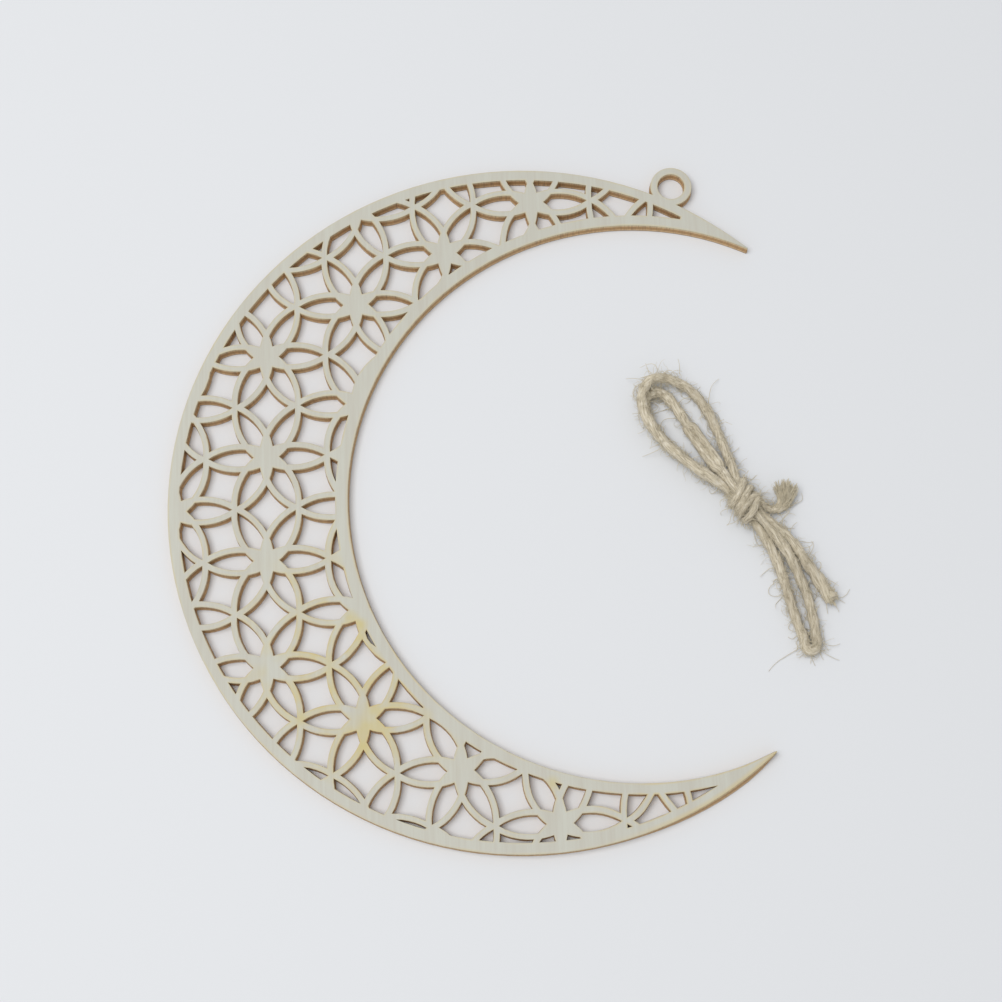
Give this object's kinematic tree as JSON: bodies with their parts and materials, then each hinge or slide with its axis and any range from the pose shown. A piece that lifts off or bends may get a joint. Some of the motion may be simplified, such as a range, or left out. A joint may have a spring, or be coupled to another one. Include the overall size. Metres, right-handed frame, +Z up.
{
  "type": "eid crescent ornament",
  "caption": "Laser-cut plywood crescent with a pierced rosette lattice and a hanging eyelet on its upper horn, with a lashed hank of jute twine to hang it by.",
  "frame": {"origin": "centre of the crescent's box at its back face, which lies on the table", "axes": "+Z up out of the flat sheet, +Y towards the horn with the eyelet, +X towards the crescent's open mouth"},
  "size_m": [0.1106, 0.12, 0.0079],
  "materials": {
    "plywood": "bare sanded basswood plywood with scorched cut edges",
    "jute": "hairy natural jute twine"
  },
  "bodies": {
    "crescent": {"crescent": "plywood"},
    "twine": {"twine_hank": "jute", "twine_lashing": "jute", "twine_tail": "jute"}
  },
  "joints": [
    {"name": "twine_lift", "type": "slide", "parent": "crescent", "child": "twine", "axis": [0, 0, 1], "range_m": [0, 0.05]}
  ]
}
